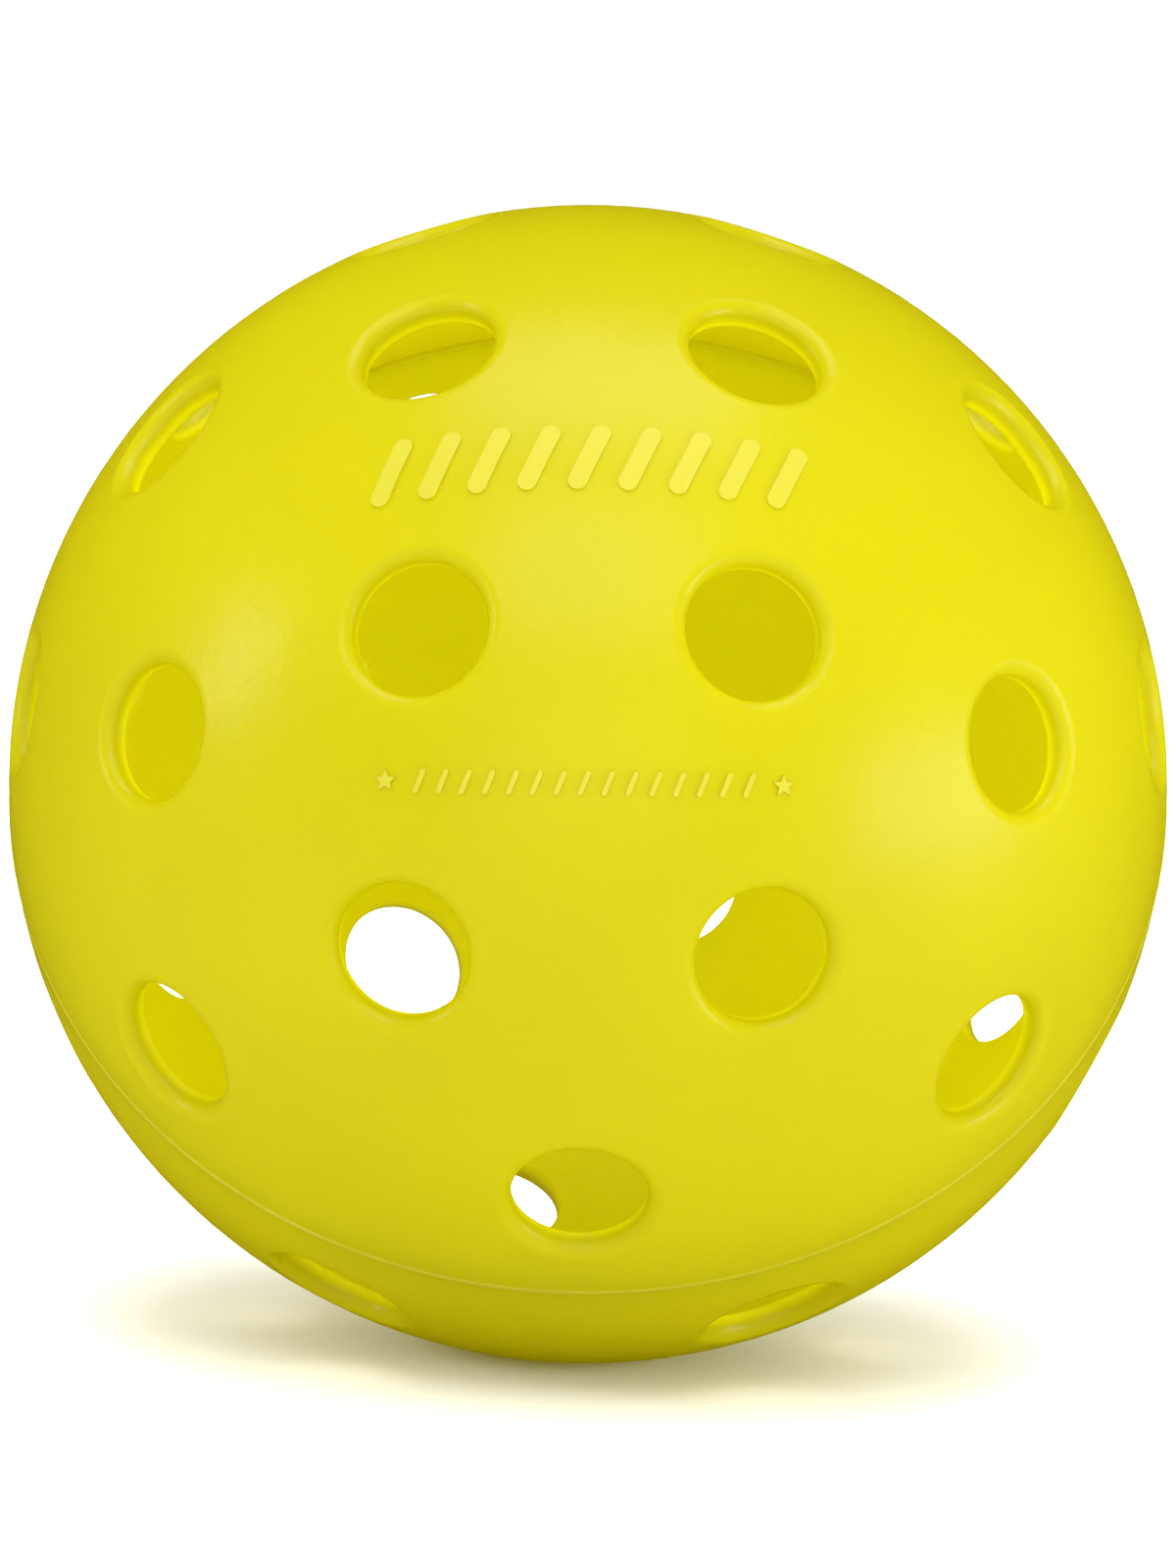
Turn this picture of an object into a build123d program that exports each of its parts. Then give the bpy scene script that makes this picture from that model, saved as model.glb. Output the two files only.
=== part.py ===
from build123d import *
import os

# An outdoor pickleball ball: two perforated half shells, moulded alike, turned against each other by
# about half a hole pitch and welded at the seam. The origin is the ball's centre. The ball lies at
# rest on the rim of one hole of the lower half, so that hole points along -Z and the seam plane is
# tilted. Latitude is measured from the seam plane, azimuth around the pole of each half.

# Ball and shell
BALL_DIAMETER = 74.0
WALL = 1.7
BALL_RADIUS = BALL_DIAMETER / 2
INNER_RADIUS = BALL_RADIUS - WALL
MIDDLE_RADIUS = BALL_RADIUS - WALL / 2

# Holes: three rings in each half, the same in both
HOLE_DIAMETER = 8.4
HOLE_RADIUS = HOLE_DIAMETER / 2
OUTER_ROUNDING = 0.85
INNER_ROUNDING = 0.3
HOLE_PITCH = 45.0
POLE_RING = {"latitude": 67.0, "first": HOLE_PITCH, "count": 4}
MIDDLE_RING = {"latitude": 38.6, "first": HOLE_PITCH / 2, "count": 8}
SEAM_RING = {"latitude": 14.0, "first": 0.0, "count": 8}
PLAIN_MERIDIAN = 10.25  # an azimuth where a half has no hole from seam to pole

# Weld at the seam
WELD_WIDTH = 0.5
WELD_CROWN = 0.06
WELD_FLASH = 0.35
WELD_TWIST = 2.6  # how far the turn between the halves falls short of half a hole pitch

# Raised bars on the upper half, in two rows, with a small star at each end of the second row
MARK_HEIGHT = 0.15
MARK_BASE = BALL_RADIUS - 0.25
MARK_TOP = BALL_RADIUS + MARK_HEIGHT
MARK_TAPER = 10
BAR_LEAN = 68
LARGE_ROW = {"latitude": 90.0, "count": 9, "pitch": 4.7, "length": 5.0, "width": 1.3}
SMALL_ROW = {"latitude": 58.0, "count": 15, "pitch": 2.2, "length": 1.7, "width": 0.45}
STAR_SWING = 18.7
STAR_RADIUS = 0.85
STAR_WAIST = 0.38
STAR_POINTS = 5

# The seam plane: its normal is the pole of the upper half. It is tilted about X until the lower
# half's middle ring has a hole that points straight down, on the meridian through its x axis.
level_plane = Plane(origin=(0, 0, 0), x_dir=(0, -1, 0), z_dir=(0, 0, 1))
seam_plane = level_plane.rotated((90 - MIDDLE_RING["latitude"], 0, 0))
pole_axis = Axis((0, 0, 0), seam_plane.z_dir)

# Azimuth 0 of each half: the lower half stands on the seam plane turned over, and turned on by half
# a hole pitch. The upper half is turned on by the twist alone.
upper_start = seam_plane.x_dir.rotate(pole_axis, WELD_TWIST)
lower_start = seam_plane.x_dir.rotate(pole_axis, HOLE_PITCH / 2)
upper_plane = Plane(origin=(0, 0, 0), x_dir=upper_start, z_dir=seam_plane.z_dir)
lower_plane = Plane(origin=(0, 0, 0), x_dir=lower_start, z_dir=-seam_plane.z_dir)


def surface_plane(half_plane, azimuth, latitude, radius=0.0, swing=0.0):
    """A plane whose normal points out of the ball at a latitude and azimuth, y up the meridian.

    swing turns the normal sideways from there, along the great circle that crosses the meridian.
    """
    pole = Axis((0, 0, 0), half_plane.z_dir)
    east = half_plane.y_dir.rotate(pole, azimuth)
    level = half_plane.x_dir.rotate(pole, azimuth)
    outward = level.rotate(Axis((0, 0, 0), east), -latitude)
    north = Axis((0, 0, 0), outward.cross(east))
    outward = outward.rotate(north, swing)
    return Plane(origin=outward * radius, x_dir=east.rotate(north, swing), z_dir=outward)


def hole_planes(half_plane):
    """Planes at the ball's centre, one facing out through each hole of a half."""
    return [
        surface_plane(half_plane, ring["first"] + k * 360 / ring["count"], ring["latitude"])
        for ring in (POLE_RING, MIDDLE_RING, SEAM_RING)
        for k in range(ring["count"])
    ]


def half_shell(half_plane):
    """One perforated half of the ball, from the weld's face to the pole, with rounded hole rims."""
    plain = surface_plane(half_plane, PLAIN_MERIDIAN, 0)
    with BuildPart() as half:
        with BuildSketch(Plane(origin=(0, 0, 0), x_dir=plain.z_dir, z_dir=-plain.x_dir)):
            Circle(BALL_RADIUS)
            Circle(INNER_RADIUS, mode=Mode.SUBTRACT)
            with Locations((0, WELD_WIDTH / 2)):
                Rectangle(BALL_RADIUS, BALL_RADIUS, align=Align.MIN, mode=Mode.INTERSECT)
        revolve(axis=Axis((0, 0, 0), half_plane.z_dir))
        with BuildSketch(*hole_planes(half_plane)):
            Circle(HOLE_RADIUS)
        extrude(amount=BALL_RADIUS, mode=Mode.SUBTRACT)
        circles = half.edges().filter_by(GeomType.CIRCLE)
        rims = circles.filter_by(lambda edge: edge.radius < HOLE_DIAMETER)
        outer_rims = rims.filter_by(lambda edge: edge.arc_center.length > MIDDLE_RADIUS)
        inner_rims = rims.filter_by(lambda edge: edge.arc_center.length < MIDDLE_RADIUS)
        fillet(outer_rims, radius=OUTER_ROUNDING)
        fillet(inner_rims, radius=INNER_ROUNDING)
    return half


def row_planes(row):
    """Planes just under the surface along a row of bars, evenly spaced on a great circle."""
    middle = (row["count"] - 1) / 2
    return [
        surface_plane(upper_plane, 0, row["latitude"], MARK_BASE, (k - middle) * row["pitch"])
        for k in range(row["count"])
    ]


os.makedirs("parts", exist_ok=True)

# Raised marks: they start just under the surface, are cut to a sphere just above it, and become
# part of the upper half.
with BuildPart() as marks:
    for row in (LARGE_ROW, SMALL_ROW):
        with BuildSketch(*row_planes(row)):
            SlotOverall(row["length"], row["width"], rotation=BAR_LEAN)
        extrude(amount=MARK_TOP + MARK_HEIGHT - MARK_BASE, taper=MARK_TAPER)
    star_planes = [
        surface_plane(upper_plane, 0, SMALL_ROW["latitude"], MARK_BASE, swing)
        for swing in (-STAR_SWING, STAR_SWING)
    ]
    with BuildSketch(*star_planes):
        with BuildLine():
            tip = Vector(0, STAR_RADIUS)
            waist = Vector(0, STAR_WAIST)
            step = 180 / STAR_POINTS
            Polyline(
                [
                    (waist if k % 2 else tip).rotate(Axis.Z, k * step)
                    for k in range(2 * STAR_POINTS)
                ],
                close=True,
            )
        make_face()
    extrude(amount=MARK_TOP + MARK_HEIGHT - MARK_BASE, taper=MARK_TAPER)
    Sphere(MARK_TOP, mode=Mode.INTERSECT)

# Upper half shell, with the marks
upper_half = half_shell(upper_plane)
with upper_half:
    add(marks.part)
upper_half.part.label = "upper_half"
export_step(upper_half.part, "parts/upper_half.step")

# Lower half shell: the same moulding turned over, without the marks
lower_half = half_shell(lower_plane)
lower_half.part.label = "lower_half"
export_step(lower_half.part, "parts/lower_half.step")

# Weld bead: the ring of plastic that melted and set again between the two halves, with a faint
# crown outside and a rounded flash inside
with BuildPart() as weld_bead:
    edge = WELD_WIDTH / 2
    outside = (BALL_RADIUS**2 - edge**2) ** 0.5
    inside = INNER_RADIUS - WELD_FLASH + edge
    with BuildSketch(Plane(origin=(0, 0, 0), x_dir=seam_plane.x_dir, z_dir=-seam_plane.y_dir)):
        with BuildLine():
            crown = ThreePointArc((outside, -edge), (BALL_RADIUS + WELD_CROWN, 0), (outside, edge))
            upper_face = Line(crown @ 1, (inside, edge))
            flash = ThreePointArc(upper_face @ 1, (inside - edge, 0), (inside, -edge))
            Line(flash @ 1, crown @ 0)
        make_face()
    revolve(axis=pole_axis)
weld_bead.part.label = "weld_bead"
export_step(weld_bead.part, "parts/weld_bead.step")
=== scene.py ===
import math

import bpy
from mathutils import Matrix, Vector


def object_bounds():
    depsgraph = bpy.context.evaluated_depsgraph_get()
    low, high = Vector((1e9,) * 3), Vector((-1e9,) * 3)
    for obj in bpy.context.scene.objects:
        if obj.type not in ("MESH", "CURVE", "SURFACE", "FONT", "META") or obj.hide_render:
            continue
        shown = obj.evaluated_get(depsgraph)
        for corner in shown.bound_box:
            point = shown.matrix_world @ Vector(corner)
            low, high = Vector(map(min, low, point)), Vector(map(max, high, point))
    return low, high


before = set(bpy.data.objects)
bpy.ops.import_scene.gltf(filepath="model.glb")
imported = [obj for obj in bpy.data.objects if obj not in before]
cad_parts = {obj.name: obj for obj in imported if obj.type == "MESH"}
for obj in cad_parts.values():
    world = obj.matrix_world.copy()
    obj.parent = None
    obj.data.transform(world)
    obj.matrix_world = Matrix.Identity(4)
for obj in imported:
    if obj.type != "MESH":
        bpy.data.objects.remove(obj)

MM = 0.001

# The ball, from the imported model: its centre is the frame's origin. The radius is the one to the
# weld's crown, which stands a little outside the shells.
cad_low, cad_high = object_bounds()
BALL_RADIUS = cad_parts["weld_bead"].dimensions.x / 2
FLOOR_Z = cad_low.z

# Camera: distance from the ball's centre, angles in degrees, the ball's radius as a share of the
# picture's height, the sensor in millimetres, and the nearest and farthest distance it sees
CAMERA_DISTANCE = 13.88 * BALL_RADIUS
CAMERA_AZIMUTH = 1.74
CAMERA_ELEVATION = 6.58
CAMERA_ROLL = 2.82
BALL_SHARE = 0.37
SENSOR = 36.0
CAMERA_CLIP = (0.01, 100.0)

# Colours, linear
SHELL_COLOUR = (0.585, 0.542, 0.001, 1.0)
SHELL_DEEP = (0.55, 0.507, 0.001, 1.0)
MARK_COLOUR = (0.63, 0.59, 0.06, 1.0)
WELD_COLOUR = (0.70, 0.66, 0.05, 1.0)
# painted light: the inner face's colour, brighter than the shell's, stands in for the light inside the
# ball
INSIDE_PAINTED_LIGHT = (0.935, 0.905, 0.003, 1.0)
FLOOR_COLOUR = (0.97, 0.97, 0.97, 1.0)
FLOOR_GRAIN = (0.99, 0.99, 0.99, 1.0)

# Plastic: how much of the light goes on through a surface, how strong the gloss is, and the skin's
# roughness where the orange peel's noise is 0 and where it is 1
SEE_THROUGH = 0.54
GLOSS = 0.26
ROUGHNESS = (0.25, 0.35)

# Plastic's texture: how broad its features are, how deep the bumped ones are, and between which two
# values of the noise the clouds change colour
CLOUD_SIZE = 22 * MM
CLOUD_EDGES = (0.3, 0.7)
PEEL_SIZE, PEEL_DEPTH = 0.55 * MM, 0.05 * MM
WAVE_SIZE, WAVE_DEPTH = 5.0 * MM, 0.12 * MM
BUMP_STRENGTH = 0.5

# Where the plastic's colour changes: a mark is at its palest this far outside the ball's radius, and
# the painted light on the inner face, a brighter colour that stands in for the light inside the hollow
# ball, comes in between these two depths, the second just short of the inner face
MARK_RISE = 0.08 * MM
INSIDE_LIGHT_FROM, INSIDE_LIGHT_TO = 0.9 * MM, 1.7 * MM

# Floor: its width, how broad its grain is, and how matt it is
FLOOR_SIZE = 40.0
FLOOR_GRAIN_SIZE = 3.0 * MM
FLOOR_ROUGHNESS = 0.9

# Soft lights: where each stands, its width and height, and its brightness, which is its power over
# pi times its area
SURROUNDINGS = 1.02
SOFTBOXES = {
    "above": ((0.0, 0.0, 1.05), 0.8, 0.5, 5.8),
    "front_top": ((0.0, -0.70, 0.80), 0.7, 0.5, 5.2),
    "front": ((0.0, -1.20, 0.20), 0.9, 0.6, 1.4),
    "right": ((0.31, -0.11, 0.02), 0.20, 0.10, 8.5),
    "left": ((-0.98, -0.26, 0.32), 0.20, 0.30, 14.0),
}


def add_node(tree, kind, **values):
    """A new node in a tree; a value whose name is a socket's goes there, any other is a property."""
    node = tree.nodes.new(kind)
    for name, value in values.items():
        socket = name.replace("_", " ").title()
        if socket in node.inputs:
            node.inputs[socket].default_value = value
        else:
            setattr(node, name, value)
    return node


def noise(tree, where, size, detail=3.0):
    """Noise whose features are about size metres across."""
    node = add_node(tree, "ShaderNodeTexNoise", detail=detail, scale=1.0 / size)
    tree.links.new(where, node.inputs["Vector"])
    return node.outputs["Fac"]


def ramp(tree, factor, low, high, low_at=0.0, high_at=1.0):
    """Colours from low to high as factor goes from low_at to high_at."""
    node = add_node(tree, "ShaderNodeValToRGB")
    first, last = node.color_ramp.elements
    first.position, first.color = low_at, low
    last.position, last.color = high_at, high
    tree.links.new(factor, node.inputs["Fac"])
    return node.outputs["Color"]


def remap(tree, value, start, end, low=0.0, high=1.0):
    """low where value is at start, high where it is at end, and in proportion between."""
    node = add_node(tree, "ShaderNodeMapRange", from_min=start, from_max=end, to_min=low, to_max=high)
    tree.links.new(value, node.inputs["Value"])
    return node.outputs["Result"]


def blend(tree, factor, first, second):
    """From the colour of the first socket to the second, a plain colour, as factor goes from 0 to 1."""
    node = add_node(tree, "ShaderNodeMix", data_type="RGBA")
    tree.links.new(factor, node.inputs["Factor"])
    tree.links.new(first, node.inputs["A"])
    node.inputs["B"].default_value = second
    return node.outputs["Result"]


def bump(tree, height, distance, normal=None):
    """A bumped normal, its height at full strength distance metres from the noise's 0 to its 1."""
    node = add_node(tree, "ShaderNodeBump", strength=BUMP_STRENGTH, distance=distance)
    tree.links.new(height, node.inputs["Height"])
    if normal is not None:
        tree.links.new(normal, node.inputs["Normal"])
    return node.outputs["Normal"]


def moulded_plastic(name, light, deep):
    """Thin moulded plastic: part of the light goes back from the skin, part goes on through the wall."""
    material = bpy.data.materials.new(name)
    material.use_nodes = True
    tree = material.node_tree
    tree.nodes.clear()
    where = add_node(tree, "ShaderNodeTexCoord").outputs["Object"]
    skin = add_node(tree, "ShaderNodeBsdfPrincipled")
    through = add_node(tree, "ShaderNodeBsdfTranslucent")
    both = add_node(tree, "ShaderNodeMixShader")
    output = add_node(tree, "ShaderNodeOutputMaterial")
    share, first, second = both.inputs
    share.default_value = SEE_THROUGH
    tree.links.new(skin.outputs["BSDF"], first)
    tree.links.new(through.outputs["BSDF"], second)
    tree.links.new(both.outputs["Shader"], output.inputs["Surface"])

    # colour: broad clouds from the flow of the melt, paler where a raised mark stands proud, and a
    # painted light on the inner face: a brighter colour there stands in for the light inside the hollow
    # ball
    reach = add_node(tree, "ShaderNodeVectorMath", operation="LENGTH")
    tree.links.new(where, reach.inputs[0])
    radius = reach.outputs["Value"]
    clouds = ramp(tree, noise(tree, where, CLOUD_SIZE, detail=2.0), deep, light, *CLOUD_EDGES)
    proud = remap(tree, radius, BALL_RADIUS, BALL_RADIUS + MARK_RISE)
    # painted light: the inner face is painted brighter, for the light inside the hollow ball
    inside_light = remap(tree, radius, BALL_RADIUS - INSIDE_LIGHT_FROM, BALL_RADIUS - INSIDE_LIGHT_TO)
    colour = blend(tree, inside_light, blend(tree, proud, clouds, MARK_COLOUR), INSIDE_PAINTED_LIGHT)
    tree.links.new(colour, skin.inputs["Base Color"])
    tree.links.new(colour, through.inputs["Color"])

    # surface: a fine orange peel over shallow waves
    peel = noise(tree, where, PEEL_SIZE, detail=2.0)
    waves = noise(tree, where, WAVE_SIZE, detail=1.0)
    tree.links.new(remap(tree, peel, 0.0, 1.0, *ROUGHNESS), skin.inputs["Roughness"])
    wavy = bump(tree, waves, WAVE_DEPTH)
    tree.links.new(bump(tree, peel, PEEL_DEPTH, wavy), skin.inputs["Normal"])
    skin.inputs["Specular IOR Level"].default_value = GLOSS
    return material


def paint(node, material):
    """Give a CAD node one material all over."""
    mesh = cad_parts[node].data
    mesh.materials.clear()
    mesh.materials.append(material)


def floor_material():
    """A pale matt floor with a faint grain."""
    material = bpy.data.materials.new("pale_floor")
    material.use_nodes = True
    tree = material.node_tree
    shader = tree.nodes["Principled BSDF"]
    where = add_node(tree, "ShaderNodeTexCoord").outputs["Object"]
    grain = noise(tree, where, FLOOR_GRAIN_SIZE)
    tree.links.new(ramp(tree, grain, FLOOR_COLOUR, FLOOR_GRAIN), shader.inputs["Base Color"])
    shader.inputs["Roughness"].default_value = FLOOR_ROUGHNESS
    shader.inputs["Specular IOR Level"].default_value = 0.0
    return material


def make_floor():
    """A large flat floor that the ball rests on, which doesn't show in the ball's gloss."""
    bpy.ops.mesh.primitive_plane_add(size=FLOOR_SIZE, location=(0, 0, FLOOR_Z))
    floor = bpy.context.object
    floor.name = "floor"
    floor.visible_glossy = False
    floor.data.materials.append(floor_material())


def add_softbox(name, position, width, height, brightness):
    """A soft rectangular light that faces the ball."""
    data = bpy.data.lights.new(name, "AREA")
    data.shape = "RECTANGLE"
    data.size, data.size_y = width, height
    data.energy = brightness * math.pi * width * height
    lamp = bpy.data.objects.new(name, data)
    bpy.context.scene.collection.objects.link(lamp)
    lamp.location = position
    lamp.rotation_euler = (-Vector(position)).to_track_quat("-Z", "Y").to_euler()


def make_lights():
    """Even white surroundings, which don't show in the gloss, and the soft boxes, which do."""
    world = bpy.data.worlds.new("studio")
    world.use_nodes = True
    world.cycles_visibility.glossy = False
    bpy.context.scene.world = world
    background = world.node_tree.nodes["Background"]
    background.inputs["Color"].default_value = (1.0, 1.0, 1.0, 1.0)
    background.inputs["Strength"].default_value = SURROUNDINGS
    for name, (position, width, height, brightness) in SOFTBOXES.items():
        add_softbox(name, position, width, height, brightness)


def make_camera():
    """The camera, aimed at the ball's centre and rolled a little."""
    azimuth, elevation = math.radians(CAMERA_AZIMUTH), math.radians(CAMERA_ELEVATION)
    back = Vector((
        math.sin(azimuth) * math.cos(elevation),
        -math.cos(azimuth) * math.cos(elevation),
        math.sin(elevation),
    ))
    right = Vector((math.cos(azimuth), math.sin(azimuth), 0.0))
    turn = Matrix((right, back.cross(right), back)).transposed().to_4x4()
    roll = Matrix.Rotation(math.radians(CAMERA_ROLL), 4, "Z")
    data = bpy.data.cameras.new("camera")
    data.sensor_width = SENSOR
    reach = CAMERA_DISTANCE / BALL_RADIUS
    data.lens = SENSOR * BALL_SHARE * math.sqrt(reach**2 - 1)
    data.clip_start, data.clip_end = CAMERA_CLIP
    camera = bpy.data.objects.new("camera", data)
    bpy.context.scene.collection.objects.link(camera)
    camera.matrix_world = Matrix.Translation(back * CAMERA_DISTANCE) @ turn @ roll
    bpy.context.scene.camera = camera


bpy.context.scene.view_settings.view_transform = "Standard"

shell = moulded_plastic("shell_plastic", SHELL_COLOUR, SHELL_DEEP)
weld = moulded_plastic("weld_plastic", WELD_COLOUR, SHELL_COLOUR)
paint("upper_half", shell)
paint("lower_half", shell)
paint("weld_bead", weld)
make_floor()
make_lights()
make_camera()
